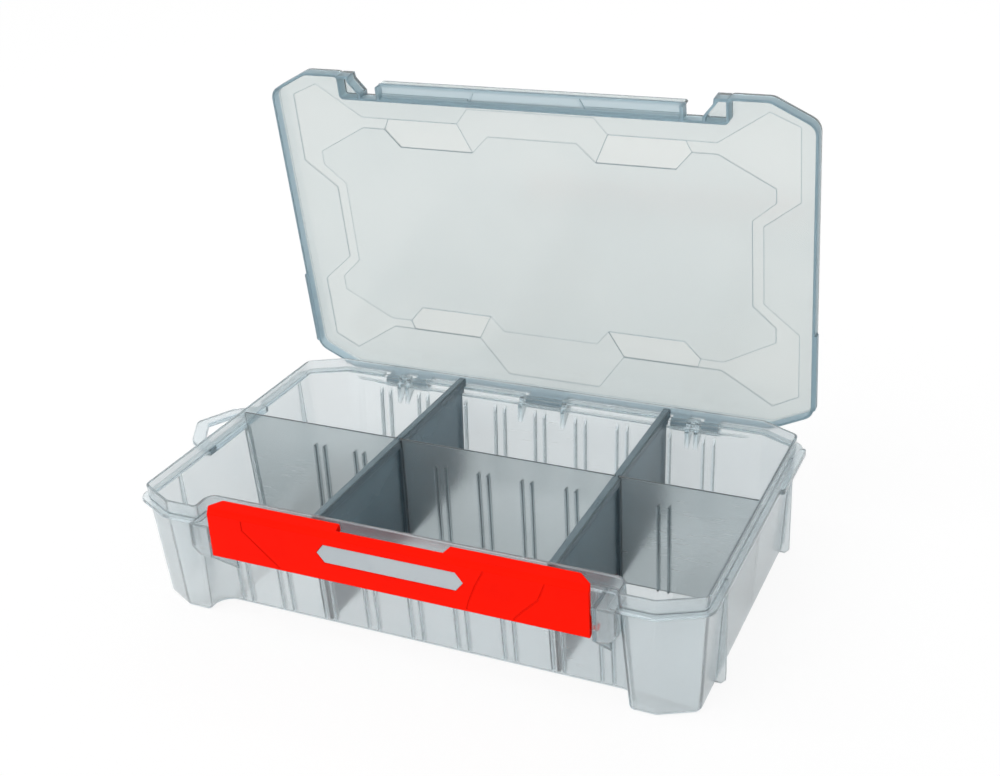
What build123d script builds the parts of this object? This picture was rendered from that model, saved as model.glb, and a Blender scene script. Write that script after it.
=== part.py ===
from build123d import *
import os
from math import atan2, cos, hypot, radians, sin, tan

# Deep clear-plastic tackle box: tray, hinged lid, wide front latch and lift-out dividers.
# Millimetres. +X is right, +Y is back, +Z is up. The origin is the centre of the tray's
# footprint, on the surface that the tray stands on. The lid is drawn open, as it is shown.

# Tray, measured at the top of its rim
rim_length = 350.5
rim_width = 213.4
rim_height = 76.5
corner_along = 24.4
corner_across = 12.5
corner_radius = 6.0
inner_corner_radius = 2.5
wall = 1.8
floor_thickness = 1.7
draft = 3.4
foot_radius = 3.5
inner_foot_radius = 1.0

# Front recess between the two front towers, where the latch sits
tower_width = 45.75
recess_depth = 14.7
recess_radius = 5.0
tower_radius = 3.0
rim_edge_radius = 0.5

# Back wall, drawn in by two shallow steps between the back towers, below the ledge
back_step = 1.5
back_step_insets = (33.25, 47.25)
back_step_slope = 6.0
back_recess_drop = 13.5

# Ledge that the lid's skirt lands on
ledge_drop = 7.8
ledge_thickness = 2.2
ledge_overhang = 3.6
ledge_edge_radius = 0.7
finger_tab_reach = 2.3
finger_tab_inset = 14.7
finger_tab_length = 54.0

# Upright fins on the side walls
fin_stand = 0.8
fin_thickness = 1.8
fin_chamfer = 2.5
fin_front_inset = 44.7
fin_back_inset = 27.7

# Hanging loop on the left end
loop_centre_y = 3.5
loop_root_half_width = 34.0
loop_half_width = 23.5
loop_reach = 28.5
loop_shoulder = 16.0
loop_band = 8.0
loop_thickness = 3.0

# Divider slots: pairs of ribs along the front and back walls
slot_pitch = 29.2
slot_gap = 5.2
slot_rib = 1.7
slot_rib_depth = 3.5
slot_rib_drop = 10.0
slot_rib_taper = 4.0
rib_nose_radius = 0.7
side_slot_gap = 2.4
side_slot_rib_depth = 2.2

# Dividers
left_slot = -2
right_slot = 3
cross_y = 10.5
fit_clearance = 0.5
cross_clearance = 0.35
floor_clearance = 0.3
top_clearance = 1.0
long_plate = 1.8
long_rail_width = 5.0
long_rail_height = 5.5
long_rail_radius = 0.9
long_end_bar = 4.2
long_end_bar_depth = 5.0
short_plate = 1.7
short_rib = 1.4
short_rib_depth = 1.8
short_rib_gap = 5.2
short_rib_radius = 0.5
short_rib_top_drop = 14.8

# Lid
lid_overhang = 3.6
lid_wall = 1.8
lid_skirt_gap = 0.3
lid_plate_gap = 0.3
lid_opening = 82.7
lid_top_radius = 1.2
lid_edge_radius = 0.6
lid_web_length = 7.0
lid_pad_reach = 1.2
lid_pad_height = 5.0

# Areas of the lid's panel that are sunk into both of its sides, by this much each
frame_step = 0.18
patch_step = 0.4
middle_step = 0.14

# Hinge: moulded bars on lugs behind the tray, with snap-on clips on the lid
hinge_behind = 5.2
hinge_drop = 14.9
hinge_bar_radius = 2.0
hinge_running = 0.08
hinge_clip_radius = 4.0
hinge_lug_radius = 3.8
hinge_lug = 2.6
hinge_lug_drop = 8.0
hinge_side_gap = 0.6
outer_hinge_inset = 70.75
outer_lug_offset = 2.95
outer_clip_width = 11.0
centre_lug_offset = 15.4
clip_mouth = 3.3

# Catch rail on the lid
rail_end_inset = 16.8
rail_reach = 12.0
rail_bead = 1.6
rail_bead_half_height = 3.2
rail_plate_drop = 0.4
rail_plate = 1.8
rail_end_wall = 2.0
rail_notch_half = 34.0
rail_rib_slant = 4.6
rail_step_reach = 2.0

# Latch
latch_end_space = 12.2
latch_wall = 2.2
latch_reach = 20.6
latch_drop = 26.8
latch_rise = 1.0
latch_bevel_depth = 2.0
latch_bevel_rise = 4.0
latch_pivot_depth = 5.1
latch_pivot_height = 5.0
latch_stub_radius = 2.0
latch_stub_length = 3.4
latch_boss_radius = 3.8
latch_close_angle = 8.7
latch_lip = 1.6
latch_lip_drop = 1.2
latch_over_bead = 1.0
latch_notch_half = 33.0
latch_notch_depth = 4.6
latch_corner = 7.0
crease_width = 0.7
crease_depth = 0.25
left_crease = [(23.1, -0.6), (23.2, 5.5), (46.0, 25.4)]
inner_right_crease = [(59.6, -0.6), (64.8, 9.4), (69.0, 19.8), (70.6, 25.4)]
outer_right_crease = [(24.4, -0.6), (28.7, 10.4), (37.8, 19.3), (43.0, 25.4)]

# Label plate let into the latch's face
label_drop = 9.4
label_half_length = 45.4
label_half_height = 5.8
label_point = 4.6
label_recess = 1.0
label_thickness = 0.8
label_clearance = 0.15

# Ears that carry the latch
ear_gap = 1.0
ear_side = 2.0
ear_set_back = 0.6
ear_front = 1.8
ear_below_latch = 2.0
ear_overlap = 2.3
ear_foot_drop = 22.0
ear_corner = 5.0

# Values worked out from the sizes above
half_x = rim_length / 2
half_y = rim_width / 2
slope = tan(radians(draft))
recess_half_width = half_x - tower_width
recess_y = -half_y + recess_depth
back_step_half_widths = [half_x - inset for inset in back_step_insets]
back_recess_top = rim_height - back_recess_drop
ledge_top = rim_height - ledge_drop
finger_tab_back = half_y - finger_tab_inset
finger_tab_front = finger_tab_back - finger_tab_length
fin_front_y = -half_y + fin_front_inset
fin_back_y = half_y - fin_back_inset
loop_top = ledge_top - ledge_thickness
slot_rib_top = rim_height - slot_rib_drop
slots_each_side = int((recess_half_width - slot_gap) / slot_pitch)
hinge_y = half_y + hinge_behind
hinge_z = rim_height - hinge_drop
latch_half_width = recess_half_width - latch_end_space
latch_face_y = recess_y - latch_reach
latch_bottom = rim_height - latch_drop
latch_face_top = rim_height + latch_rise
latch_bevel_y = latch_face_y + latch_bevel_depth
latch_bevel_top = latch_face_top + latch_bevel_rise
latch_pivot_y = latch_face_y + latch_pivot_depth
latch_pivot_z = latch_bottom + latch_pivot_height
label_centre_z = rim_height - label_drop
rail_half_length = latch_half_width - rail_end_inset
rail_front_y = recess_y - rail_reach
rail_bead_top = rim_height + rail_bead_half_height
rail_bead_bottom = rim_height - rail_bead_half_height
rail_plate_top = rim_height - rail_plate_drop
ear_front_y = latch_face_y + ear_set_back
ear_bottom = latch_bottom - ear_below_latch
ear_foot_z = ear_bottom - ear_foot_drop
lid_plate_bottom = rim_height + lid_plate_gap
lid_top = lid_plate_bottom + lid_wall
skirt_bottom = ledge_top + lid_skirt_gap
rail_end_bottom = skirt_bottom
divider_bottom = floor_thickness + floor_clearance
divider_top = rim_height - top_clearance
left_x = left_slot * slot_pitch
right_x = right_slot * slot_pitch
slot_positions = [slot_pitch * n for n in range(-slots_each_side, slots_each_side + 1)]
outer_clip_start = outer_lug_offset + hinge_lug / 2 + hinge_side_gap
centre_clip_half = centre_lug_offset - hinge_lug / 2 - hinge_side_gap
outer_centres = (-half_x + outer_hinge_inset, half_x - outer_hinge_inset)
lug_positions = [x + side * outer_lug_offset for x in outer_centres for side in (-1, 1)]
lug_positions += [-centre_lug_offset, centre_lug_offset]
clip_spans = [(x + outer_clip_start, x + outer_clip_start + outer_clip_width) for x in outer_centres]
clip_spans += [(x - outer_clip_start - outer_clip_width, x - outer_clip_start) for x in outer_centres]
clip_spans += [(-centre_clip_half, centre_clip_half)]
outer_bar_half = outer_clip_start + outer_clip_width
bar_spans = [(x - outer_bar_half, x + outer_bar_half) for x in outer_centres]
bar_spans += [(-centre_lug_offset, centre_lug_offset)]
notch_y = recess_y - lid_overhang
notch_half = recess_half_width - lid_overhang


def inset_at(z):
    """How far the drafted walls stand inside the rim's outline at height z."""
    return (rim_height - z) * slope


def rim_points(recessed_back):
    """The rim's outline, counter-clockwise from above."""
    back = []
    if recessed_back:
        depth = 0
        for half_width in back_step_half_widths:
            back.append((half_width, half_y - depth))
            depth += back_step
            back.append((half_width - back_step_slope, half_y - depth))
    return [
        (-half_x + corner_along, -half_y),
        (-recess_half_width, -half_y),
        (-recess_half_width, recess_y),
        (recess_half_width, recess_y),
        (recess_half_width, -half_y),
        (half_x - corner_along, -half_y),
        (half_x, -half_y + corner_across),
        (half_x, half_y - corner_across),
        (half_x - corner_along, half_y),
        *back,
        *[(-x, y) for x, y in reversed(back)],
        (-half_x + corner_along, half_y),
        (-half_x, half_y - corner_across),
        (-half_x, -half_y + corner_across),
    ]


def outline(grow, recessed_back=False, round_ends=True):
    """The rim's outline as a face, grown outwards by the given distance."""
    face = make_face(Polyline(*rim_points(recessed_back), close=True))
    if round_ends:
        corners = [v for v in face.vertices() if abs(v.X) > half_x - corner_along - 1]
        face = fillet(corners, corner_radius)
    inner_corners = [v for v in face.vertices() if abs(v.Y - recess_y) < 0.1]
    face = fillet(inner_corners, recess_radius)
    if abs(grow) < 1e-9:
        return face
    return offset(face, amount=grow, kind=Kind.ARC)


def walls(grow, low, high, recessed_back=False):
    """A drafted solid between two heights, following the tray's outline, with sharp end corners."""
    base = outline(grow - inset_at(low), recessed_back, round_ends=False)
    return extrude(Pos(0, 0, low) * base, amount=high - low, taper=-draft)


def side_plate(points, x_low, x_high):
    """A plate standing across X, from (y, z) points."""
    face = make_face(Plane.YZ * Polyline(*points, close=True))
    return Pos(x_low, 0, 0) * extrude(face, amount=x_high - x_low, dir=(1, 0, 0))


def front_plate(points, y_low, y_high):
    """A plate standing across Y, from (x, z) points."""
    face = make_face(Plane.XZ * Polyline(*points, close=True))
    return Pos(0, y_low, 0) * extrude(face, amount=y_high - y_low, dir=(0, 1, 0))


def block(x_low, x_high, y_low, y_high, z_low, z_high):
    """A block given by its limits."""
    size = (x_high - x_low, y_high - y_low, z_high - z_low)
    return Pos(x_low, y_low, z_low) * Box(*size, align=(Align.MIN, Align.MIN, Align.MIN))


def rod_x(x_low, x_high, y, z, radius):
    """A round bar along X."""
    bar = Cylinder(radius, x_high - x_low, align=(Align.CENTER, Align.CENTER, Align.MIN))
    return Pos(x_low, y, z) * Rot(0, 90, 0) * bar


def front_inside(z):
    """Inner face of the front recess wall at height z."""
    return recess_y + inset_at(z) + wall


def back_inside(z):
    """Inner face of the back wall at height z."""
    steps = len(back_step_half_widths) if z < back_recess_top + wall else 0
    return half_y - inset_at(z) - wall - steps * back_step


def side_inside(z):
    """Inner face of the side walls at height z, as a distance from the middle."""
    return half_x - inset_at(z) - wall


def round_nose(rib, direction):
    """Rounds the two tall edges of a rib that are furthest along a direction."""
    tall = [edge for edge in rib.edges() if edge.bounding_box().size.Z > 10]
    tall.sort(key=lambda edge: (edge @ 0.5).dot(Vector(*direction)))
    return fillet(tall[-2:], rib_nose_radius)


def slot_rib_solid(x, face, direction, top):
    """One upright slot rib on the front (direction 1) or back (direction -1) wall."""
    low = floor_thickness - 0.5
    sunk = wall / 2
    points = [
        (face(low) - direction * sunk, low),
        (face(low) + direction * slot_rib_depth, low),
        (face(top) + direction * slot_rib_depth, top - slot_rib_taper),
        (face(top) - direction * sunk, top),
    ]
    return round_nose(side_plate(points, x - slot_rib / 2, x + slot_rib / 2), (0, direction, 0))


def side_slot_rib(y, side):
    """One upright rib on a side wall, beside the end of a short divider."""
    low = floor_thickness - 0.5
    points = [
        (side * (side_inside(low) + wall / 2), low),
        (side * (side_inside(low) - side_slot_rib_depth), low),
        (side * (side_inside(slot_rib_top) - side_slot_rib_depth), slot_rib_top - slot_rib_taper),
        (side * (side_inside(slot_rib_top) + wall / 2), slot_rib_top),
    ]
    return round_nose(front_plate(points, y - slot_rib / 2, y + slot_rib / 2), (-side, 0, 0))


def fin(y, side):
    """An upright outer fin from the ledge to the foot, cut back at its lower corner."""
    inner = side * (half_x - inset_at(0) - wall / 2)
    outer = side * (half_x + fin_stand)
    points = [
        (inner, 0.6),
        (outer - side * fin_chamfer, 0.6),
        (outer, 0.6 + fin_chamfer),
        (outer, ledge_top - ledge_thickness),
        (inner, ledge_top - ledge_thickness),
    ]
    return front_plate(points, y - fin_thickness / 2, y + fin_thickness / 2)


def hanging_loop():
    """The flat loop moulded onto the left end, under the ledge."""
    root = -half_x + inset_at(loop_top) + wall / 2
    edge = -half_x - ledge_overhang
    tip = edge - loop_reach
    shoulder = edge - loop_shoulder
    outer = [
        (root, loop_centre_y - loop_root_half_width),
        (edge, loop_centre_y - loop_root_half_width),
        (shoulder, loop_centre_y - loop_half_width),
        (tip, loop_centre_y),
        (shoulder, loop_centre_y + loop_half_width),
        (edge, loop_centre_y + loop_root_half_width),
        (root, loop_centre_y + loop_root_half_width),
    ]
    ring = make_face(Polyline(*outer, close=True))
    ring = fillet(ring.vertices().sort_by(Axis.X)[:3], 5)
    hole = offset(ring, amount=-loop_band, kind=Kind.ARC)
    hole -= Pos(edge + loop_band, loop_centre_y) * Rectangle(2 * loop_band, 2 * loop_root_half_width)
    low = loop_top - loop_thickness
    return extrude(Pos(0, 0, low) * (ring - hole), amount=loop_thickness)


def ear(side):
    """The lug beside one end of the latch: two cheeks, a front and a shelf on a gusset."""
    near = side * (latch_half_width + ear_gap)
    back = front_inside(ledge_top) - wall / 2
    cheek_points = [
        (ear_front_y, ledge_top - 0.5),
        (ear_front_y, ear_bottom),
        (front_inside(ear_foot_z) - wall / 2, ear_foot_z),
        (back, ledge_top - 0.5),
    ]
    far = near + side * ear_side
    cheek = side_plate(cheek_points, min(near, far), max(near, far))
    outer = side * (recess_half_width + ear_overlap)
    front_face = [
        (near, ledge_top - 0.5),
        (near, ear_bottom),
        (outer - side * ear_corner, ear_bottom),
        (outer, ear_bottom + ear_corner),
        (outer, ledge_top - 0.5),
    ]
    front = front_plate(front_face, ear_front_y, ear_front_y + ear_front)
    limits = sorted([near, outer])
    shelf = block(*limits, ear_front_y, back, ledge_top - ledge_thickness, ledge_top - 0.5)
    outer_cheek_points = [
        (ear_front_y, ledge_top - 0.5),
        (ear_front_y, ear_bottom + ear_corner),
        (-half_y + 3, ear_bottom + ear_corner),
        (-half_y + 3, ledge_top - 0.5),
    ]
    edge = sorted([outer, outer - side * ear_front])
    outer_cheek = side_plate(outer_cheek_points, *edge)
    return [cheek, front, shelf, outer_cheek]


def upright_edges(solid, x_low, x_high, y_high):
    """The tall edges between two distances from the middle, in front of a given Y."""
    found = []
    for edge in solid.edges():
        middle = edge @ 0.5
        tall = edge.bounding_box().size.Z > 10
        if tall and x_low < abs(middle.X) < x_high and middle.Y < y_high:
            found.append(edge)
    return found


def rounded_form(solid, end_radius, inner_radius, foot):
    """Rounds a drafted form's end corners, the inner front corners of its towers, and its foot."""
    ends = upright_edges(solid, half_x - corner_along - 8, half_x + 1, half_y + 1)
    solid = fillet(ends, end_radius)
    towers = upright_edges(solid, recess_half_width - 1, recess_half_width + 7, -half_y + 7)
    solid = fillet(towers, inner_radius)
    bottom = solid.faces().sort_by(Axis.Z)[0]
    return fillet(bottom.outer_wire().edges(), foot)


def tray_shell():
    """The tray's outer form: drafted walls, with the back drawn in below the ledge."""
    lower = walls(0, 0, back_recess_top, recessed_back=True)
    upper = walls(0, back_recess_top, rim_height)
    return rounded_form(lower + upper, corner_radius, tower_radius, foot_radius)


def tray_cavity():
    """The room inside the tray's walls and above its floor."""
    lower = walls(-wall, floor_thickness, back_recess_top + wall, recessed_back=True)
    upper = walls(-wall, back_recess_top + wall, rim_height + 1)
    return rounded_form(lower + upper, inner_corner_radius, tower_radius - wall, inner_foot_radius)


def make_ledge():
    """The ledge round the tray, with a finger tab on each side, open behind at the clips."""
    base = ledge_top - ledge_thickness
    ledge = extrude(Pos(0, 0, base) * outline(ledge_overhang), amount=ledge_thickness)
    flats = ledge.faces().filter_by(Axis.Z)
    ledge = fillet(flats.edges(), ledge_edge_radius)
    for low, high in clip_spans:
        sides = (low - hinge_side_gap, high + hinge_side_gap)
        ledge -= block(*sides, half_y + 0.6, half_y + 20, 0, rim_height)
    edge = half_x + ledge_overhang
    for side in (-1, 1):
        limits = sorted([side * (edge - 2), side * (edge + finger_tab_reach)])
        tab = block(*limits, finger_tab_front, finger_tab_back, base - 1.2, ledge_top)
        uprights = tab.edges().filter_by(Axis.Z).sort_by(Axis.X)
        ledge += fillet(uprights[-2:] if side > 0 else uprights[:2], finger_tab_reach)
    return ledge


def hinge_lug_plate(x):
    """A lug behind the tray, with its gusset, that carries the end of a hinge bar."""
    low = x - hinge_lug / 2
    high = x + hinge_lug / 2
    root = half_y - wall
    drop = hinge_z - hinge_lug_drop
    plate = side_plate(
        [
            (root, ledge_top - 1),
            (hinge_y, hinge_z + hinge_lug_radius - 0.2),
            (hinge_y, hinge_z - hinge_lug_radius + 0.2),
            (back_inside(drop) + wall / 2, drop - hinge_lug_drop / 2),
            (back_inside(drop) + wall / 2, ledge_top - 1),
        ],
        low,
        high,
    )
    return [plate, rod_x(low, high, hinge_y, hinge_z, hinge_lug_radius)]


def make_tray():
    additions = [make_ledge(), hanging_loop()]
    for side in (-1, 1):
        additions += [fin(fin_front_y, side), fin(fin_back_y, side)]
        additions += ear(side)
    for x in lug_positions:
        additions += hinge_lug_plate(x)
    for low, high in bar_spans:
        additions.append(rod_x(low, high, hinge_y, hinge_z, hinge_bar_radius))
    body = tray_shell() + additions
    body -= tray_cavity()
    rim = body.faces().sort_by(Axis.Z)[-1]
    body = fillet(rim.edges(), rim_edge_radius)

    inside = []
    for x in slot_positions:
        for side in (-1, 1):
            rib_x = x + side * (slot_gap + slot_rib) / 2
            inside.append(slot_rib_solid(rib_x, front_inside, 1, slot_rib_top))
            inside.append(slot_rib_solid(rib_x, back_inside, -1, back_recess_top - 1))
    for side in (-1, 1):
        for step in (-1, 1):
            rib_y = cross_y + step * (side_slot_gap + slot_rib) / 2
            inside.append(side_slot_rib(rib_y, side))
    body = body + inside
    for side in (-1, 1):
        x = side * (latch_half_width + ear_gap + ear_side / 2)
        bore = latch_stub_radius + hinge_running
        body -= rod_x(x - ear_side, x + ear_side, latch_pivot_y, latch_pivot_z, bore)
    return body


def mirrored(points):
    """A closed outline from its right half, mirrored in X."""
    return points + [(-x, y) for x, y in reversed(points) if abs(x) > 1e-6]


def closed_face(points):
    return make_face(Polyline(*points, close=True))


def panel_steps():
    """The thinner areas of the lid's panel, as pairs of a face and its depth on each side."""
    outer_front = recess_y + 12.8
    outer_back = half_y - 30.3
    inner_front = recess_y + 20
    inner_back = half_y - 37.7
    dip_front = recess_y + 31.6
    dip_back = half_y - 48.2
    frame = closed_face(
        mirrored(
            [
                (0, outer_front),
                (half_x - 57.25, outer_front),
                (half_x - 26.25, recess_y - 8),
                (half_x - 8.25, recess_y),
                (half_x - 7.75, recess_y + 46.5),
                (half_x - 29.85, -28),
                (half_x - 29.85, 24.5),
                (half_x - 7.75, half_y - 63),
                (half_x - 7.75, half_y - 18.2),
                (half_x - 24.25, half_y - 8.9),
                (half_x - 57.25, outer_back),
                (0, outer_back),
            ]
        )
    )
    inner = closed_face(
        mirrored(
            [
                (0, inner_front),
                (29.8, inner_front),
                (41.5, dip_front),
                (half_x - 82.85, dip_front),
                (half_x - 72.75, inner_front),
                (half_x - 56.85, inner_front),
                (half_x - 22.25, recess_y + 39),
                (half_x - 22.25, recess_y + 48.2),
                (half_x - 36.75, -31),
                (half_x - 36.75, 26.7),
                (half_x - 22.25, half_y - 66.2),
                (half_x - 22.25, half_y - 55.7),
                (half_x - 55.75, inner_back + 1),
                (half_x - 71.05, inner_back + 1),
                (half_x - 81.25, dip_back),
                (42.3, dip_back),
                (33.5, inner_back),
                (0, inner_back),
            ]
        )
    )
    front_patch = [
        (50.3, outer_front),
        (half_x - 76.25, outer_front),
        (half_x - 72.75, inner_front),
        (half_x - 82.85, dip_front),
        (41.5, dip_front),
    ]
    back_patch = [
        (52, outer_back),
        (half_x - 73.25, outer_back),
        (half_x - 71.05, inner_back + 1),
        (half_x - 81.25, dip_back),
        (42.3, dip_back),
    ]
    patches = []
    for points in (front_patch, back_patch):
        patches.append(closed_face(points))
        patches.append(closed_face([(-x, y) for x, y in points]))
    middle_outlines = [
        [(42, recess_y + 2.6), (50.3, outer_front), (41.5, dip_front), (29.8, inner_front)],
        [(33, half_y - 4.2), (52, outer_back), (42.3, dip_back), (33.5, inner_back)],
    ]
    middles = [closed_face(mirrored(points)) for points in middle_outlines]
    band = frame - inner - patches - middles
    steps = [(band, frame_step)]
    steps += [(face, patch_step) for face in patches]
    steps += [(face, middle_step) for face in middles]
    return steps


def corner_web(side):
    """The hollow web beside the lid's front notch: a plate with a wall under its free edges."""
    inner_x = notch_half + 1
    front_y = -half_y - lid_overhang + 0.8
    bend_x = notch_half - lid_web_length
    end_x = notch_half - 2 * lid_web_length
    back_y = notch_y + 1
    free_edges = [
        (side * inner_x, front_y),
        (side * bend_x, front_y),
        (side * (bend_x - 0.6), front_y + 3.8),
        (side * end_x, notch_y - 2.4),
        (side * end_x, back_y),
    ]
    inner_edges = [
        (side * (end_x + lid_wall), back_y),
        (side * (end_x + lid_wall), notch_y - 2.4),
        (side * (bend_x - 0.6 + lid_wall), front_y + 3.8),
        (side * (bend_x + lid_wall), front_y + lid_wall),
        (side * inner_x, front_y + lid_wall),
    ]
    plate = make_face(Polyline(*free_edges, (side * inner_x, back_y), close=True))
    rim = make_face(Polyline(*free_edges, *inner_edges, close=True))
    web = extrude(Pos(0, 0, lid_plate_bottom) * plate, amount=lid_wall)
    return web + extrude(Pos(0, 0, skirt_bottom) * rim, amount=lid_top - skirt_bottom)


def catch_rail_half(side):
    """Half of the catch rail: its shelf, bead, end wall, slanted rib and the step at its root."""
    root = notch_y + lid_wall / 2
    end = side * rail_half_length
    half = sorted([0, end])
    shelf = block(*half, rail_front_y + 0.4, root, rail_plate_top - rail_plate, rail_plate_top)
    bead = block(*half, rail_front_y, rail_front_y + rail_bead, rail_bead_bottom, rail_bead_top)
    end_limits = sorted([end, end - side * rail_end_wall])
    end_wall = block(*end_limits, rail_front_y, root, rail_end_bottom, rail_plate_top)
    rounded = []
    for piece in (bead, end_wall):
        corner = [e for e in piece.edges().filter_by(Axis.Z) if abs((e @ 0.5).X - end) < 0.1]
        front = sorted(corner, key=lambda e: (e @ 0.5).Y)[0]
        rounded.append(fillet(front, rail_bead * 0.9))
    rib = closed_face(
        [
            (side * (rail_notch_half - 0.6), rail_front_y + 0.4),
            (side * (rail_notch_half + 0.6), rail_front_y + 0.4),
            (side * (rail_notch_half + rail_rib_slant + 0.6), root),
            (side * (rail_notch_half + rail_rib_slant - 0.6), root),
        ]
    )
    rib = extrude(Pos(0, 0, rail_bead_bottom) * rib, amount=rail_plate_top - rail_bead_bottom)
    step_limits = sorted([end, side * (rail_notch_half + rail_rib_slant)])
    step = block(*step_limits, notch_y - rail_step_reach, root, rail_bead_bottom, rail_plate_top)
    return [shelf, *rounded, rib, step]


def hinge_clip(low, high):
    """One clip on the lid: a ring around a hinge bar, with a mouth, on a stem."""
    ring = rod_x(low, high, hinge_y, hinge_z, hinge_clip_radius)
    skirt_in = half_y + lid_overhang - lid_wall
    stem = block(low, high, skirt_in, hinge_y + 0.6, hinge_z + 1, skirt_bottom + 1)
    clip = ring + stem
    clip -= rod_x(low - 1, high + 1, hinge_y, hinge_z, hinge_bar_radius + hinge_running)
    mouth = block(low - 1, high + 1, 0, 2 * hinge_clip_radius, -clip_mouth / 2, clip_mouth / 2)
    return clip - Pos(0, hinge_y, hinge_z) * Rot(-35, 0, 0) * mouth


def make_lid():
    shell = extrude(Pos(0, 0, skirt_bottom) * outline(lid_overhang), amount=lid_top - skirt_bottom)
    top_edges = shell.faces().sort_by(Axis.Z)[-1].outer_wire().edges()
    shell = fillet(top_edges, lid_top_radius)
    hollow = outline(lid_overhang - lid_wall)
    shell -= extrude(Pos(0, 0, skirt_bottom - 1) * hollow, amount=lid_plate_bottom - skirt_bottom + 1)
    skirt_edge = shell.faces().sort_by(Axis.Z)[0]
    shell = fillet(skirt_edge.edges(), lid_edge_radius)

    for side in (-1, 1):
        shell = shell + corner_web(side) + catch_rail_half(side)

    for face, depth in panel_steps():
        shell -= extrude(Pos(0, 0, lid_top - depth) * face, amount=depth + 1)
        shell -= extrude(Pos(0, 0, lid_plate_bottom - 1) * face, amount=depth + 1)
    edge = half_x + lid_overhang
    for side in (-1, 1):
        limits = sorted([side * (edge - lid_wall / 2), side * (edge + lid_pad_reach)])
        pad = block(*limits, finger_tab_front, finger_tab_back, skirt_bottom, skirt_bottom + lid_pad_height)
        uprights = pad.edges().filter_by(Axis.Z).sort_by(Axis.X)
        shell += fillet(uprights[-2:] if side > 0 else uprights[:2], lid_pad_reach)
    for low, high in clip_spans:
        shell += hinge_clip(low, high)
    axis = Axis((0, hinge_y, hinge_z), (-1, 0, 0))
    return shell.rotate(axis, lid_opening)


def swung(y, z, angle):
    """A (y, z) point turned about the latch's pivot, outwards for a positive angle."""
    dy = y - latch_pivot_y
    dz = z - latch_pivot_z
    radius = hypot(dy, dz)
    lean = atan2(dy, dz) - radians(angle)
    return latch_pivot_y + radius * sin(lean), latch_pivot_z + radius * cos(lean)


def label_points(grow):
    """The label's pointed outline on the latch's face, grown by a distance."""
    half_length = label_half_length + grow
    half_height = label_half_height + grow
    return [
        (-half_length, label_centre_z),
        (-half_length + label_point, label_centre_z - half_height),
        (half_length - label_point, label_centre_z - half_height),
        (half_length, label_centre_z),
        (half_length - label_point, label_centre_z + half_height),
        (-half_length + label_point, label_centre_z + half_height),
    ]


def crease(points, side):
    """A shallow groove in the latch's face. Its points are insets from one end and drops from the rim."""
    path = Polyline(*[(side * (latch_half_width - inset), rim_height - drop) for inset, drop in points])
    groove = Plane.XZ * trace(path, line_width=crease_width)
    return Pos(0, latch_face_y - 1, 0) * extrude(groove, amount=1 + crease_depth, dir=(0, 1, 0))


def make_latch():
    bead_back = rail_front_y + rail_bead
    lip_front = bead_back + 0.2
    lip_back = lip_front + latch_lip
    lip_bottom = rail_bead_top - latch_lip_drop
    flange_under = rail_bead_top + latch_over_bead
    flange_top = flange_under + latch_wall
    closed_lip = [
        (lip_back, flange_top),
        (lip_back, lip_bottom),
        (lip_front, lip_bottom),
        (lip_front, flange_under),
    ]
    back_top, back_bottom, front_bottom, under_back = [swung(y, z, latch_close_angle) for y, z in closed_lip]
    lean = radians(latch_close_angle)
    inner_y = latch_bevel_y + latch_wall * 0.9
    under_front = (inner_y, under_back[1] - (under_back[0] - inner_y) * tan(lean))
    profile = [
        (latch_face_y, latch_bottom),
        (latch_face_y, latch_face_top),
        (latch_bevel_y, latch_bevel_top),
        back_top,
        back_bottom,
        front_bottom,
        under_back,
        under_front,
        (latch_face_y + latch_wall, latch_face_top - 0.6),
        (latch_face_y + latch_wall, latch_bottom),
    ]
    latch = side_plate(profile, -latch_half_width, latch_half_width)
    notch_edge = back_top[0] - latch_notch_depth
    notch = make_face(
        Polyline(
            (-latch_notch_half, notch_edge),
            (latch_notch_half, notch_edge),
            (latch_notch_half + 4, back_top[0] + 3),
            (-latch_notch_half, back_top[0] + 3),
            close=True,
        )
    )
    latch -= extrude(Pos(0, 0, back_bottom[1] - 2) * notch, amount=20)
    for side in (-1, 1):
        end = side * latch_half_width
        corner = make_face(
            Polyline(
                (end + side, back_top[0] + 3),
                (end + side, latch_bevel_y + 0.6),
                (end, latch_bevel_y + 0.6),
                (end - side * latch_corner, back_top[0]),
                (end - side * latch_corner, back_top[0] + 3),
                close=True,
            )
        )
        latch -= extrude(Pos(0, 0, back_bottom[1] - 2) * corner, amount=20)
        limits = sorted([end, end - side * latch_wall])
        face_in = latch_face_y + latch_wall / 2
        cheek = side_plate(
            [
                (face_in, latch_bottom),
                (latch_pivot_y, latch_pivot_z - latch_boss_radius),
                (latch_pivot_y, latch_pivot_z + latch_boss_radius),
                (face_in, latch_pivot_z + 2.6 * latch_boss_radius),
            ],
            *limits,
        )
        boss = rod_x(*limits, latch_pivot_y, latch_pivot_z, latch_boss_radius)
        stub_ends = sorted([end - side, end + side * latch_stub_length])
        stub = rod_x(*stub_ends, latch_pivot_y, latch_pivot_z, latch_stub_radius)
        latch = latch + [cheek, boss, stub]
    recess = front_plate(label_points(0), latch_face_y - 1, latch_face_y + label_recess)
    creases = [crease(left_crease, -1), crease(inner_right_crease, 1), crease(outer_right_crease, 1)]
    return latch - recess - creases


def make_label():
    back = latch_face_y + label_recess
    return front_plate(label_points(-label_clearance), back - label_thickness, back)


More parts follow.
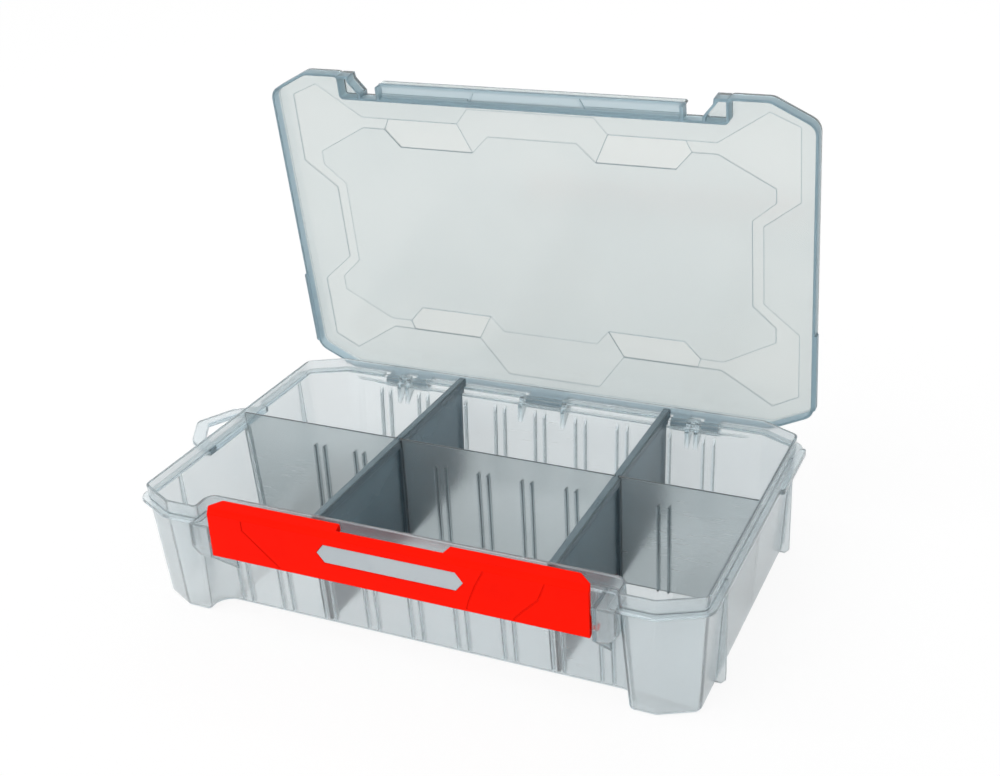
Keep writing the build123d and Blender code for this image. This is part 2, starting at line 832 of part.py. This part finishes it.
def long_profile():
    """Side view of a long divider: it follows the tray's front and back walls."""
    step = back_recess_top + wall
    return [
        (front_inside(divider_bottom) + fit_clearance, divider_bottom),
        (front_inside(divider_top) + fit_clearance, divider_top),
        (back_inside(divider_top) - fit_clearance, divider_top),
        (back_inside(step) - fit_clearance, step + fit_clearance),
        (back_inside(step - 0.1) - fit_clearance, step + fit_clearance),
        (back_inside(divider_bottom) - fit_clearance, divider_bottom),
    ]


def make_long_divider(x):
    profile = long_profile()
    plate = side_plate(profile, x - long_plate / 2, x + long_plate / 2)
    rail_sides = (x - long_rail_width / 2, x + long_rail_width / 2)
    bar_sides = (x - long_end_bar / 2, x + long_end_bar / 2)
    full = side_plate(profile, *rail_sides)
    rail = full & block(*rail_sides, -half_y, half_y, divider_top - long_rail_height, divider_top)
    rail = fillet(rail.faces().sort_by(Axis.Z)[-1].edges().filter_by(Axis.Y), long_rail_radius)
    ends = full & [
        block(*bar_sides, -half_y, front_inside(0) + long_end_bar_depth, 0, rim_height),
        block(*bar_sides, back_inside(0) - long_end_bar_depth, half_y, 0, rim_height),
    ]
    divider = plate + rail + ends
    slot_half = short_plate / 2 + cross_clearance
    for step in (-1, 1):
        rib_y = cross_y + step * (slot_half + short_rib / 2)
        rib_faces = (rib_y - short_rib / 2, rib_y + short_rib / 2)
        divider += block(*rail_sides, *rib_faces, divider_bottom, divider_top - 0.4)
    for side in (-1, 1):
        limits = sorted([x + side * long_plate / 2, x + side * (long_rail_width / 2 + 1)])
        divider -= block(*limits, cross_y - slot_half, cross_y + slot_half, 0, rim_height + 1)
    return divider


def make_short_divider(low_x, high_x, slots):
    """A short divider. Its ends are given at its foot and at its top, as (foot, top) pairs."""
    points = [
        (low_x[0], divider_bottom),
        (low_x[1], divider_top),
        (high_x[1], divider_top),
        (high_x[0], divider_bottom),
    ]
    divider = front_plate(points, cross_y - short_plate / 2, cross_y + short_plate / 2)
    reach = short_plate / 2 + short_rib_depth
    for n in slots:
        for step in (-1, 1):
            rib_x = n * slot_pitch + step * (short_rib_gap + short_rib) / 2
            rib = block(
                rib_x - short_rib / 2,
                rib_x + short_rib / 2,
                cross_y - reach,
                cross_y + reach,
                divider_bottom,
                divider_top - short_rib_top_drop,
            )
            divider += fillet(rib.edges().filter_by(Axis.Z), short_rib_radius)
    return divider


def make_short_dividers():
    at_wall = [side_inside(divider_bottom) - fit_clearance, side_inside(divider_top) - fit_clearance]
    beside = long_plate / 2 + fit_clearance
    first = left_x + beside
    second = right_x - beside
    left_slots = range(-slots_each_side, left_slot)
    right_slots = range(right_slot + 1, slots_each_side + 1)
    left = make_short_divider([-at_wall[0], -at_wall[1]], [left_x - beside] * 2, left_slots)
    centre = make_short_divider([first] * 2, [second] * 2, range(left_slot + 1, right_slot))
    right = make_short_divider([right_x + beside] * 2, at_wall, right_slots)
    return left, centre, right


def main():
    os.makedirs("parts", exist_ok=True)
    short_left, short_centre, short_right = make_short_dividers()
    pieces = {
        "tray": make_tray(),
        "lid": make_lid(),
        "latch": make_latch(),
        "label_plate": make_label(),
        "long_divider_left": make_long_divider(left_x),
        "long_divider_right": make_long_divider(right_x),
        "short_divider_left": short_left,
        "short_divider_centre": short_centre,
        "short_divider_right": short_right,
    }
    for name, piece in pieces.items():
        solids = piece.solids()
        export_step(solids[0], f"parts/{name}.step")
        print(name, len(solids), "solids", round(piece.volume), "mm3")


main()
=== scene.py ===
# Looks for a deep clear plastic tackle box with a red latch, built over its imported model.
import math
import bpy
from mathutils import Matrix, Vector

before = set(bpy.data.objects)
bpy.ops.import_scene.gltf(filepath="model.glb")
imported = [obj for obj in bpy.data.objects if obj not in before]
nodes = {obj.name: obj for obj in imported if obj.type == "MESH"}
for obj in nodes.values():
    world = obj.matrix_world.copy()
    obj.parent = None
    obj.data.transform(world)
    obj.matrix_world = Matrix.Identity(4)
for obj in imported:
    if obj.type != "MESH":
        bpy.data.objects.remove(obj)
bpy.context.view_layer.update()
scene = bpy.context.scene
print("frame loaded with", len(nodes), "pieces")


def place(tree, kind, x, y, **settings):
    node = tree.nodes.new(kind)
    node.location = (x, y)
    for key, value in settings.items():
        setattr(node, key, value)
    return node


def join(tree, source, target):
    tree.links.new(source, target)


def feed(tree, value, target):
    # the value is a socket to link, or a plain number or colour to set
    if isinstance(value, bpy.types.NodeSocket):
        join(tree, value, target)
    else:
        target.default_value = value


def sums(tree, operation, x, y, first, second, third=None):
    node = place(tree, "ShaderNodeMath", x, y, operation=operation)
    for socket, value in zip(node.inputs, (first, second, third)):
        if value is not None:
            feed(tree, value, socket)
    return node.outputs[0]


def noise(tree, x, y, vector, scale, detail, roughness, distortion=0.0):
    node = place(tree, "ShaderNodeTexNoise", x, y)
    node.inputs["Detail"].default_value = detail
    node.inputs["Roughness"].default_value = roughness
    node.inputs["Distortion"].default_value = distortion
    join(tree, vector, node.inputs["Vector"])
    feed(tree, scale, node.inputs["Scale"])
    return node.outputs["Fac"]


def spread(tree, x, y, value, low, high):
    # stretches the band from low to high over 0 to 1, with soft ends
    node = place(tree, "ShaderNodeMapRange", x, y, interpolation_type="SMOOTHSTEP")
    feed(tree, low, node.inputs["From Min"])
    feed(tree, high, node.inputs["From Max"])
    join(tree, value, node.inputs["Value"])
    return node.outputs["Result"]


def mixColours(tree, x, y, share, first, second):
    node = place(tree, "ShaderNodeMix", x, y, data_type="RGBA")
    shareSlot, firstSlot, secondSlot, colourSlot = 0, 6, 7, 2
    join(tree, share, node.inputs[shareSlot])
    feed(tree, first, node.inputs[firstSlot])
    feed(tree, second, node.inputs[secondSlot])
    return node.outputs[colourSlot]


def newGroup(name, inputs, outputs):
    group = bpy.data.node_groups.new(name, "ShaderNodeTree")
    for label, kind, value in inputs:
        socket = group.interface.new_socket(name=label, in_out="INPUT", socket_type=kind)
        socket.default_value = value
    for label, kind in outputs:
        group.interface.new_socket(name=label, in_out="OUTPUT", socket_type=kind)
    start = place(group, "NodeGroupInput", -1100, 0)
    end = place(group, "NodeGroupOutput", 800, 0)
    return group, start.outputs, end.inputs


def buildMouldClouds():
    # broad cloudy patches and long flow streaks, as plastic shows where it filled the mould
    group, given, made = newGroup(
        "mouldClouds",
        [
            ("Colour", "NodeSocketColor", (0.9, 0.9, 0.9, 1)),
            ("Cloud Colour", "NodeSocketColor", (0.7, 0.7, 0.7, 1)),
            ("Cloud Scale", "NodeSocketFloat", 9.0),
            ("Cloud Amount", "NodeSocketFloat", 0.3),
            ("Streak Scale", "NodeSocketFloat", 12.0),
            ("Streak Amount", "NodeSocketFloat", 0.2),
        ],
        [("Colour", "NodeSocketColor")],
    )
    cloudBand = (0.35, 0.68)  # the noise values between which a cloud comes up
    streakBand = (0.42, 0.75)
    streakStretch = (0.35, 2.2, 2.2)  # long from left to right
    coords = place(group, "ShaderNodeTexCoord", -1100, -400)
    clouds = noise(group, -700, 100, coords.outputs["Object"], given["Cloud Scale"],
                   detail=2.0, roughness=0.5, distortion=0.6)
    clouds = spread(group, -500, 100, clouds, *cloudBand)
    stretched = place(group, "ShaderNodeMapping", -900, -400)
    stretched.inputs["Scale"].default_value = streakStretch
    join(group, coords.outputs["Object"], stretched.inputs["Vector"])
    streaks = noise(group, -700, -300, stretched.outputs["Vector"], given["Streak Scale"],
                    detail=4.0, roughness=0.6, distortion=0.3)
    streaks = spread(group, -500, -300, streaks, *streakBand)
    cloudShare = sums(group, "MULTIPLY", -250, 100, clouds, given["Cloud Amount"])
    streakShare = sums(group, "MULTIPLY", -250, -300, streaks, given["Streak Amount"])
    share = sums(group, "ADD", 0, -100, cloudShare, streakShare)
    colour = mixColours(group, 300, 0, share, given["Colour"], given["Cloud Colour"])
    join(group, colour, made["Colour"])
    return group


def buildHandlingMarks():
    # a faint unevenness of the polished mould, and hair scratches from handling
    group, given, made = newGroup(
        "handlingMarks",
        [
            ("Roughness", "NodeSocketFloat", 0.08),
            ("Scratch Roughness", "NodeSocketFloat", 0.2),
            ("Scratch Scale", "NodeSocketFloat", 60.0),
            ("Wave Scale", "NodeSocketFloat", 40.0),
            ("Grain Scale", "NodeSocketFloat", 900.0),
            ("Grain Share", "NodeSocketFloat", 0.1),
        ],
        [("Roughness", "NodeSocketFloat"), ("Height", "NodeSocketFloat")],
    )
    scratchTurns = (25, -50)  # degrees about x and y, for the two directions of scratches
    scratchTwist = 1.7  # how many times as far they turn about z
    scratchStretch = (1.0, 26.0, 26.0)  # long and hair thin
    scratchBand = (0.72, 0.78)
    scratchDepth = -0.12
    scratchedAreaScale = 14.0
    scratchedAreaBand = (0.5, 0.7)
    coords = place(group, "ShaderNodeTexCoord", -1100, -500)
    directions = []
    for row, turn in enumerate(scratchTurns):
        y = -350 * row
        turned = place(group, "ShaderNodeMapping", -900, y)
        turned.inputs["Rotation"].default_value = (
            math.radians(turn),
            math.radians(turn),
            math.radians(turn * scratchTwist),
        )
        turned.inputs["Scale"].default_value = scratchStretch
        join(group, coords.outputs["Object"], turned.inputs["Vector"])
        fine = noise(group, -700, y, turned.outputs["Vector"], given["Scratch Scale"],
                     detail=1.0, roughness=0.4)
        directions.append(spread(group, -500, y, fine, *scratchBand))
    area = noise(group, -700, 300, coords.outputs["Object"], scratchedAreaScale,
                 detail=2.0, roughness=0.55)
    area = spread(group, -500, 300, area, *scratchedAreaBand)
    scratches = sums(group, "MAXIMUM", -250, -150, *directions)
    scratches = sums(group, "MULTIPLY", -50, -50, scratches, area)
    rough = sums(group, "MULTIPLY_ADD", 150, 100,
                 scratches, given["Scratch Roughness"], given["Roughness"])
    waves = noise(group, -250, -450, coords.outputs["Object"], given["Wave Scale"],
                  detail=2.0, roughness=0.4)
    grain = noise(group, -250, -700, coords.outputs["Object"], given["Grain Scale"],
                  detail=2.0, roughness=0.5)
    height = sums(group, "MULTIPLY_ADD", 0, -500, grain, given["Grain Share"], waves)
    height = sums(group, "MULTIPLY_ADD", 250, -400, scratches, scratchDepth, height)
    join(group, rough, made["Roughness"])
    join(group, height, made["Height"])
    return group


def buildEdgeLightAndShade():
    # a thin band of painted edge light and shade along every sharp edge and step, lighter on some
    # plastics and darker on others, with another roughness there
    group, given, made = newGroup(
        "edgeLightAndShade",
        [
            ("Colour", "NodeSocketColor", (0.9, 0.9, 0.9, 1)),
            ("Painted Edge Colour", "NodeSocketColor", (0.4, 0.45, 0.5, 1)),
            ("Amount", "NodeSocketFloat", 1.0),
            ("Radius", "NodeSocketFloat", 0.0005),
            ("Roughness", "NodeSocketFloat", 0.1),
            ("Edge Roughness", "NodeSocketFloat", 0.2),
        ],
        [("Colour", "NodeSocketColor"), ("Roughness", "NodeSocketFloat")],
    )
    bendBand = (0.01, 0.12)  # how far the rounded normal has turned from the true one
    edgeSamples = 4
    rounded = place(group, "ShaderNodeBevel", -900, -300, samples=edgeSamples)
    join(group, given["Radius"], rounded.inputs["Radius"])
    surface = place(group, "ShaderNodeNewGeometry", -900, -500)
    likeness = place(group, "ShaderNodeVectorMath", -650, -300, operation="DOT_PRODUCT")
    join(group, rounded.outputs["Normal"], likeness.inputs[0])
    join(group, surface.outputs["Normal"], likeness.inputs[1])
    bend = sums(group, "SUBTRACT", -450, -300, 1.0, likeness.outputs["Value"])
    edge = spread(group, -250, -300, bend, *bendBand)
    rough = sums(group, "MULTIPLY_ADD", 0, -100, edge, given["Edge Roughness"], given["Roughness"])
    share = sums(group, "MULTIPLY", 0, -300, edge, given["Amount"])
    # painted edge light and shade: the painted edge colour is mixed in along the edges found
    colour = mixColours(group, 300, 100, share, given["Colour"], given["Painted Edge Colour"])
    join(group, colour, made["Colour"])
    join(group, rough, made["Roughness"])
    return group


def buildDepthToneAndShade():
    # another tone and haze further along one direction of the piece: painted shade on the tray and the
    # dividers, darker towards the floor and towards the tray's right end, and a darker, bluer skirt on
    # the lid
    group, given, made = newGroup(
        "depthToneAndShade",
        [
            ("Colour", "NodeSocketColor", (0.9, 0.9, 0.9, 1)),
            ("Far Colour", "NodeSocketColor", (0.7, 0.75, 0.8, 1)),
            ("Direction", "NodeSocketVector", (0, 0, 1)),
            ("Near", "NodeSocketFloat", 0.0),
            ("Far", "NodeSocketFloat", 1.0),
            ("Roughness", "NodeSocketFloat", 0.1),
            ("Far Roughness", "NodeSocketFloat", 0.0),
        ],
        [("Colour", "NodeSocketColor"), ("Roughness", "NodeSocketFloat")],
    )
    coords = place(group, "ShaderNodeTexCoord", -1100, -400)
    along = place(group, "ShaderNodeVectorMath", -700, -300, operation="DOT_PRODUCT")
    join(group, coords.outputs["Object"], along.inputs[0])
    join(group, given["Direction"], along.inputs[1])
    depth = spread(group, -400, -300, along.outputs["Value"], given["Near"], given["Far"])
    rough = sums(group, "MULTIPLY_ADD", 0, -200, depth, given["Far Roughness"], given["Roughness"])
    # painted shade on the tray and dividers: the far colour is mixed in along the direction
    colour = mixColours(group, 300, 0, depth, given["Colour"], given["Far Colour"])
    join(group, colour, made["Colour"])
    join(group, rough, made["Roughness"])
    return group


mouldClouds = buildMouldClouds()
handlingMarks = buildHandlingMarks()
edgeLightAndShade = buildEdgeLightAndShade()
depthToneAndShade = buildDepthToneAndShade()
print("shared effects ready")


def useGroup(tree, group, x, y, values):
    node = place(tree, "ShaderNodeGroup", x, y)
    node.node_tree = group
    for key, value in values.items():
        node.inputs[key].default_value = value
    return node


def newMaterial(name):
    material = bpy.data.materials.new(name)
    material.use_nodes = True
    tree = material.node_tree
    tree.nodes.clear()
    output = place(tree, "ShaderNodeOutputMaterial", 900, 0)
    return material, tree, output.inputs


def mouldedPlastic(name, look):
    # what all of the box's plastics share: clouds, marks, painted edge light and shade, roughness and a
    # slight relief; where the look has a depth tone, that too, which is painted shade on the tray and
    # dividers
    material, tree, output = newMaterial(name)
    shader = place(tree, "ShaderNodeBsdfPrincipled", 500, 0)
    clouds = useGroup(tree, mouldClouds, -300, 200, look["clouds"])
    marks = useGroup(tree, handlingMarks, -300, -200, look["marks"])
    relief = place(tree, "ShaderNodeBump", 100, -300)
    relief.inputs["Strength"].default_value = look["relief"]
    relief.inputs["Distance"].default_value = look["reliefDepth"]
    join(tree, marks.outputs["Height"], relief.inputs["Height"])
    # painted edge light and shade over the clouded colour
    toneWithPaintedLight = useGroup(tree, edgeLightAndShade, -100, 200, look["edges"])
    join(tree, clouds.outputs["Colour"], toneWithPaintedLight.inputs["Colour"])
    join(tree, marks.outputs["Roughness"], toneWithPaintedLight.inputs["Roughness"])
    # then the depth tone: painted shade on the tray and dividers, a bluer skirt on the lid
    if "depth" in look:
        edges = toneWithPaintedLight
        toneWithPaintedLight = useGroup(tree, depthToneAndShade, 150, 200, look["depth"])
        join(tree, edges.outputs["Colour"], toneWithPaintedLight.inputs["Colour"])
        join(tree, edges.outputs["Roughness"], toneWithPaintedLight.inputs["Roughness"])
    join(tree, toneWithPaintedLight.outputs["Colour"], shader.inputs["Base Color"])
    join(tree, toneWithPaintedLight.outputs["Roughness"], shader.inputs["Roughness"])
    join(tree, relief.outputs["Normal"], shader.inputs["Normal"])
    shader.inputs["IOR"].default_value = look["ior"]
    shader.inputs["Specular IOR Level"].default_value = look["shine"]
    join(tree, shader.outputs["BSDF"], output["Surface"])
    return material, tree, shader, relief, output


def clearPlastic(name, look):
    # see-through plastic that is tinted by how far the light goes through it
    material, tree, shader, _, output = mouldedPlastic(name, look)
    shader.inputs["Transmission Weight"].default_value = look["clear"]
    depth = place(tree, "ShaderNodeVolumeAbsorption", 500, -400)
    depth.inputs["Color"].default_value = look["depthColour"]
    depth.inputs["Density"].default_value = look["depthDensity"]
    join(tree, depth.outputs["Volume"], output["Volume"])
    return material


def solidPlastic(name, look):
    # opaque plastic with softly rounded edges
    edgeSamples = 6
    material, tree, _, relief, _ = mouldedPlastic(name, look)
    rounded = place(tree, "ShaderNodeBevel", -100, -500, samples=edgeSamples)
    rounded.inputs["Radius"].default_value = look["edgeRadius"]
    join(tree, rounded.outputs["Normal"], relief.inputs["Normal"])
    return material


def dress(name, material):
    mesh = nodes[name].data
    if not mesh.materials:
        mesh.materials.append(material)
    for slot in nodes[name].material_slots:
        slot.material = material


# the tray: pale, milky and clear, with painted shade that greys it towards its right end, and a pale
# bluish painted edge light along its rims and steps
tray = {
    "clouds": {
        "Colour": (0.972, 0.988, 0.99, 1), "Cloud Colour": (0.925, 0.955, 0.965, 1),
        "Cloud Scale": 11.0, "Cloud Amount": 0.6, "Streak Scale": 14.0, "Streak Amount": 0.3,
    },
    "marks": {
        "Roughness": 0.2, "Scratch Roughness": 0.12, "Scratch Scale": 55.0,
        "Wave Scale": 30.0, "Grain Scale": 700.0, "Grain Share": 0.03,
    },
    "edges": {
        "Painted Edge Colour": (0.92, 0.985, 1.0, 1), "Amount": 1.0, "Radius": 0.0012, "Edge Roughness": 0.4,
    },
    "depth": {"Far Colour": (0.90, 0.93, 0.94, 1), "Direction": (1, 0, 0), "Near": -0.13, "Far": 0.19},
    "relief": 0.12, "reliefDepth": 0.0004,
    "ior": 1.47, "shine": 0.5, "clear": 0.86,
    "depthColour": (0.01, 0.42, 0.58, 1), "depthDensity": 36.0,
}
dress("tray", clearPlastic("trayPlastic", tray))

# the lid: greyer and smoother, with painted shade as thin dark lines on its steps and a hazy blue skirt;
# the direction points inward from its panel, and the skirt's tone starts at the panel's underside
lid = {
    "clouds": {
        "Colour": (0.882, 0.889, 0.862, 1), "Cloud Colour": (0.816, 0.837, 0.819, 1),
        "Cloud Scale": 8.0, "Cloud Amount": 0.5, "Streak Scale": 9.0, "Streak Amount": 0.35,
    },
    "marks": {
        "Roughness": 0.14, "Scratch Roughness": 0.12, "Scratch Scale": 50.0,
        "Wave Scale": 24.0, "Grain Scale": 700.0, "Grain Share": 0.03,
    },
    "edges": {
        "Painted Edge Colour": (0.13, 0.21, 0.27, 1), "Amount": 1.0, "Radius": 0.0006, "Edge Roughness": 0.3,
    },
    "depth": {
        "Far Colour": (0.60, 0.73, 0.79, 1), "Direction": (0, -0.9919, -0.1271),
        "Near": -0.1340, "Far": -0.1315, "Far Roughness": 0.3,
    },
    "relief": 0.12, "reliefDepth": 0.0005,
    "ior": 1.47, "shine": 0.5, "clear": 0.9,
    "depthColour": (0.03, 0.344, 0.475, 1), "depthDensity": 95.0,
}
dress("lid", clearPlastic("lidPlastic", lid))

# the two long dividers: smoky blue grey, a tint deepened by painted shade, with more painted shade
# towards the floor and as dark bands along their edges
longDivider = {
    "clouds": {
        "Colour": (0.36, 0.48, 0.54, 1), "Cloud Colour": (0.235, 0.335, 0.39, 1),
        "Cloud Scale": 12.0, "Cloud Amount": 0.5, "Streak Scale": 20.0, "Streak Amount": 0.35,
    },
    "marks": {
        "Roughness": 0.26, "Scratch Roughness": 0.15, "Scratch Scale": 60.0,
        "Wave Scale": 34.0, "Grain Scale": 800.0, "Grain Share": 0.05,
    },
    "edges": {
        "Painted Edge Colour": (0.004, 0.022, 0.036, 1), "Amount": 1.0, "Radius": 0.0013, "Edge Roughness": 0.15,
    },
    "depth": {
        "Far Colour": (0.215, 0.295, 0.34, 1), "Direction": (0, 0, -1), "Near": -0.072, "Far": -0.012,
    },
    "relief": 0.2, "reliefDepth": 0.0005,
    "ior": 1.47, "shine": 0.5, "clear": 0.6,
    "depthColour": (0.22, 0.45, 0.54, 1), "depthDensity": 500.0,
}
longPlastic = clearPlastic("longDividerPlastic", longDivider)
for side in ("left", "right"):
    dress("long_divider_" + side, longPlastic)

# the three short dividers: paler, and clear with a haze, with painted shade towards the floor and as
# bluish grey bands along their edges
shortDivider = {
    "clouds": {
        "Colour": (0.985, 0.985, 0.975, 1), "Cloud Colour": (0.90, 0.91, 0.91, 1),
        "Cloud Scale": 13.0, "Cloud Amount": 0.5, "Streak Scale": 18.0, "Streak Amount": 0.35,
    },
    "marks": {
        "Roughness": 0.26, "Scratch Roughness": 0.05, "Scratch Scale": 60.0,
        "Wave Scale": 34.0, "Grain Scale": 800.0, "Grain Share": 0.04,
    },
    "edges": {
        "Painted Edge Colour": (0.30, 0.42, 0.50, 1), "Amount": 0.8, "Radius": 0.0006, "Edge Roughness": 0.1,
    },
    "depth": {
        "Far Colour": (0.84, 0.845, 0.84, 1), "Direction": (0, 0, -1), "Near": -0.07, "Far": -0.01,
    },
    "relief": 0.02, "reliefDepth": 0.0004,
    "ior": 1.47, "shine": 0.5, "clear": 0.93,
    "depthColour": (0.30, 0.46, 0.52, 1), "depthDensity": 205.0,
}
shortPlastic = clearPlastic("shortDividerPlastic", shortDivider)
for side in ("left", "centre", "right"):
    dress("short_divider_" + side, shortPlastic)

# the latch: a full, even red with a satin skin, and painted shade as a darker red along its edges and
# creases
latch = {
    "clouds": {
        "Colour": (1.0, 0.008, 0.001, 1), "Cloud Colour": (0.90, 0.005, 0.001, 1),
        "Cloud Scale": 30.0, "Cloud Amount": 0.25, "Streak Scale": 22.0, "Streak Amount": 0.25,
    },
    "marks": {
        "Roughness": 0.42, "Scratch Roughness": 0.12, "Scratch Scale": 70.0,
        "Wave Scale": 40.0, "Grain Scale": 2200.0, "Grain Share": 0.5,
    },
    "edges": {
        "Painted Edge Colour": (0.55, 0.004, 0.001, 1), "Amount": 0.7, "Radius": 0.0004, "Edge Roughness": 0.0,
    },
    "relief": 0.25, "reliefDepth": 0.0002,
    "ior": 1.47, "shine": 0.03, "edgeRadius": 0.0006,
}
dress("latch", solidPlastic("latchPlastic", latch))

# the label plate: a pale grey blank, with a painted highlight as a lighter band round its edges
label = {
    "clouds": {
        "Colour": (0.475, 0.525, 0.55, 1), "Cloud Colour": (0.42, 0.47, 0.5, 1),
        "Cloud Scale": 40.0, "Cloud Amount": 0.4, "Streak Scale": 30.0, "Streak Amount": 0.3,
    },
    "marks": {
        "Roughness": 0.5, "Scratch Roughness": 0.1, "Scratch Scale": 80.0,
        "Wave Scale": 50.0, "Grain Scale": 2600.0, "Grain Share": 0.5,
    },
    "edges": {
        "Painted Edge Colour": (0.62, 0.66, 0.68, 1), "Amount": 0.6, "Radius": 0.0004, "Edge Roughness": 0.0,
    },
    "relief": 0.2, "reliefDepth": 0.0002,
    "ior": 1.47, "shine": 0.15, "edgeRadius": 0.0003,
}
dress("label_plate", solidPlastic("labelPlastic", label))
print("plastics assigned")

# the studio, in metres and degrees: white paper, a soft room, a wide sun and two strip lamps
studio = {
    "paperHalfSize": 14.0, "paperColour": (0.97, 0.97, 0.97, 1),
    "paperGlow": 0.9, "paperGlowInside": 0.6,
    "roomStrength": 0.86, "horizonColour": (1, 1, 1, 1), "ceilingColour": (0.72, 0.76, 0.79, 1),
    "horizonEnd": 0.05, "ceilingStart": 0.9,
    "sunStrength": 1.1, "sunWidth": 50, "sunTurn": (30, -25, 0),
    "stripTarget": (0, 0, 0.1),
}
strips = {
    "backStrip": {"position": (-0.3, 1.3, 1.5), "size": (1.6, 0.12), "power": 4.0},
    "sideStrip": {"position": (-1.4, -0.5, 1.2), "size": (0.12, 1.2), "power": 3.0},
}


def backdropShare(tree, x, y, straight, bent):
    # how far the backdrop is plain white, for a ray that shows it to the camera straight or by way
    # of the clear plastic
    oneBounce = 0.5  # less than this means that no diffuse bounce lies between
    path = place(tree, "ShaderNodeLightPath", x, y)
    seen = sums(tree, "MULTIPLY", x + 200, y, path.outputs["Is Camera Ray"], straight)
    passed, mirrored = path.outputs["Is Transmission Ray"], path.outputs["Is Glossy Ray"]
    share = sums(tree, "MAXIMUM", x + 200, y + 200, passed, mirrored)
    share = sums(tree, "MULTIPLY_ADD", x + 400, y, share, bent, seen)
    direct = sums(tree, "LESS_THAN", x + 200, y - 200, path.outputs["Diffuse Depth"], oneBounce)
    return sums(tree, "MULTIPLY", x + 600, y, share, direct)


def mixShaders(tree, x, y, share, first, second):
    node = place(tree, "ShaderNodeMixShader", x, y)
    for socket, source in zip(node.inputs, (share, first, second)):
        join(tree, source, socket)
    return node.outputs[0]


def buildFloor():
    half = studio["paperHalfSize"]
    corners = [(-half, -half, 0), (half, -half, 0), (half, half, 0), (-half, half, 0)]
    mesh = bpy.data.meshes.new("studioPaper")
    mesh.from_pydata(corners, [], [(0, 1, 2, 3)])
    paper = bpy.data.objects.new("studioPaper", mesh)
    scene.collection.objects.link(paper)
    material, tree, output = newMaterial("paperWhite")
    lit = place(tree, "ShaderNodeBsdfDiffuse", 200, 100)
    lit.inputs["Color"].default_value = studio["paperColour"]
    glow = place(tree, "ShaderNodeEmission", 200, -100)
    glow.inputs["Strength"].default_value = 1.0
    share = backdropShare(tree, -800, 300, studio["paperGlow"], studio["paperGlowInside"])
    shown = mixShaders(tree, 500, 0, share, lit.outputs[0], glow.outputs[0])
    join(tree, shown, output["Surface"])
    mesh.materials.append(material)


def buildRoom():
    # lights the box evenly; what shows of it is white at the horizon and greyer overhead, so that
    # the edges of clear plastic stand out
    world = bpy.data.worlds.new("studioRoom")
    scene.world = world
    world.use_nodes = True
    tree = world.node_tree
    tree.nodes.clear()
    output = place(tree, "ShaderNodeOutputWorld", 900, 0)
    light = place(tree, "ShaderNodeBackground", 300, 100)
    light.inputs["Strength"].default_value = studio["roomStrength"]
    coords = place(tree, "ShaderNodeTexCoord", -900, -300)
    split = place(tree, "ShaderNodeSeparateXYZ", -700, -300)
    join(tree, coords.outputs["Generated"], split.inputs[0])
    height = spread(tree, -500, -300, split.outputs["Z"], studio["horizonEnd"], studio["ceilingStart"])
    sky = mixColours(tree, -200, -300, height, studio["horizonColour"], studio["ceilingColour"])
    shown = place(tree, "ShaderNodeBackground", 300, -200)
    join(tree, sky, shown.inputs["Color"])
    share = backdropShare(tree, -800, 400, 1.0, 1.0)
    room = mixShaders(tree, 600, 0, share, light.outputs[0], shown.outputs[0])
    join(tree, room, output.inputs["Surface"])


def addStrip(name, strip):
    data = bpy.data.lights.new(name, "AREA")
    data.shape = "RECTANGLE"
    data.size, data.size_y = strip["size"]
    data.energy = strip["power"]
    lamp = bpy.data.objects.new(name, data)
    lamp.location = strip["position"]
    aim = Vector(studio["stripTarget"]) - Vector(strip["position"])
    lamp.rotation_euler = aim.to_track_quat("-Z", "Y").to_euler()
    scene.collection.objects.link(lamp)


def addSun():
    data = bpy.data.lights.new("softKey", "SUN")
    data.energy = studio["sunStrength"]
    data.angle = math.radians(studio["sunWidth"])
    sun = bpy.data.objects.new("softKey", data)
    sun.rotation_euler = [math.radians(turn) for turn in studio["sunTurn"]]
    scene.collection.objects.link(sun)


buildFloor()
buildRoom()
addSun()
for name, strip in strips.items():
    addStrip(name, strip)
print("paper, room and lamps ready")

# the camera, at the photograph's angle: its turns in degrees and its place in metres
view = {
    "azimuth": 25.57, "elevation": 25.47, "roll": -3.05, "place": (0.3433, -0.6767, 0.4847),
    "focalPixels": 1418.2, "imageWidth": 1000, "sensorWidth": 36, "farClip": 50,
    "bounces": 20,  # enough for light to pass every clear wall in its way
}


def addCamera():
    azimuth, elevation, roll = (math.radians(view[key]) for key in ("azimuth", "elevation", "roll"))
    back = Vector((
        math.sin(azimuth) * math.cos(elevation),
        -math.cos(azimuth) * math.cos(elevation),
        math.sin(elevation),
    ))
    level = Vector((0, 0, 1)).cross(back).normalized()
    upright = back.cross(level)
    right = math.cos(roll) * level + math.sin(roll) * upright
    top = math.cos(roll) * upright - math.sin(roll) * level
    data = bpy.data.cameras.new("photoCamera")
    data.sensor_fit = "HORIZONTAL"
    data.sensor_width = view["sensorWidth"]
    data.lens = view["sensorWidth"] * view["focalPixels"] / view["imageWidth"]
    data.clip_end = view["farClip"]
    camera = bpy.data.objects.new("photoCamera", data)
    turned = Matrix((right, top, back)).transposed().to_4x4()
    camera.matrix_world = Matrix.Translation(view["place"]) @ turned
    scene.collection.objects.link(camera)
    scene.camera = camera


addCamera()
scene.view_settings.view_transform = "Standard"
scene.cycles.max_bounces = view["bounces"]
scene.cycles.transmission_bounces = view["bounces"]
print("camera ready")
